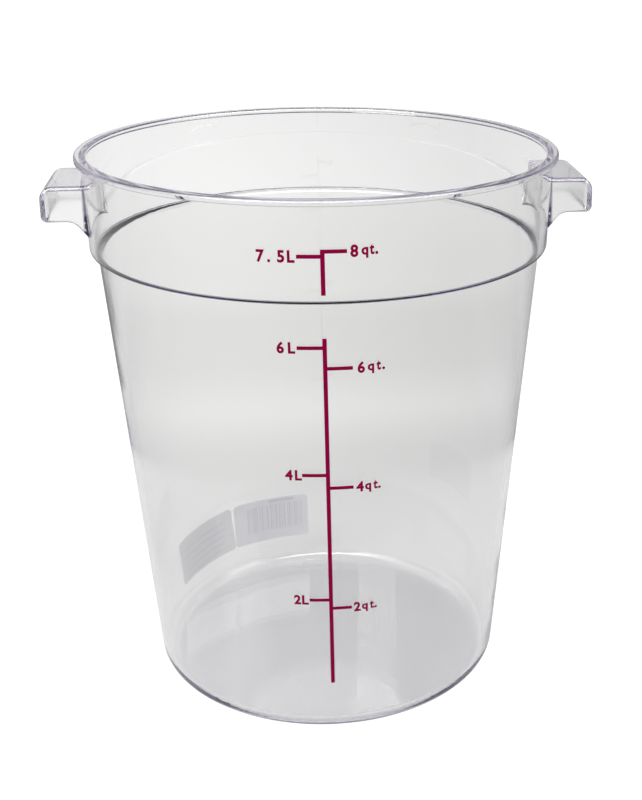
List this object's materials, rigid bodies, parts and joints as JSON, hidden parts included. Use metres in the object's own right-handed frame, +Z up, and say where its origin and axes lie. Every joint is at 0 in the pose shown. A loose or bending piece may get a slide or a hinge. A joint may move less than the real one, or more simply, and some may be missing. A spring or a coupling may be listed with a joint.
{
  "type": "round food storage container",
  "caption": "Round clear food storage container with a tapered wall, a stepped collar, a lip, hollow side handles and a printed volume scale.",
  "frame": {"origin": "centre of the base, on the plane of the foot ring", "axes": "+Z up through the mouth; +X through the handles; -Y towards the printed scale"},
  "size_m": [0.2606, 0.2302, 0.275],
  "materials": {
    "clear_plastic": "clear moulded polycarbonate, polished, faint violet-blue at its edges",
    "scale_ink": "printed magenta ink",
    "label_paper": "white paper with grey print"
  },
  "bodies": {
    "root": {"tub": "clear_plastic", "scale_line_upper": "scale_ink", "scale_line_lower": "scale_ink", "mark_7_5L_7": "scale_ink", "mark_7_5L_dot": "scale_ink", "mark_7_5L_5": "scale_ink", "mark_7_5L_L": "scale_ink", "mark_8qt_8": "scale_ink", "mark_8qt_q": "scale_ink", "mark_8qt_t": "scale_ink", "mark_8qt_dot": "scale_ink", "mark_6L_6": "scale_ink", "mark_6L_L": "scale_ink", "mark_6qt_6": "scale_ink", "mark_6qt_q": "scale_ink", "mark_6qt_t": "scale_ink", "mark_6qt_dot": "scale_ink", "mark_4L_4": "scale_ink", "mark_4L_L": "scale_ink", "mark_4qt_4": "scale_ink", "mark_4qt_q": "scale_ink", "mark_4qt_t": "scale_ink", "mark_4qt_dot": "scale_ink", "mark_2L_2": "scale_ink", "mark_2L_L": "scale_ink", "mark_2qt_2": "scale_ink", "mark_2qt_q": "scale_ink", "mark_2qt_t": "scale_ink", "mark_2qt_dot": "scale_ink", "label_left": "label_paper", "label_right": "label_paper"}
  },
  "joints": []
}
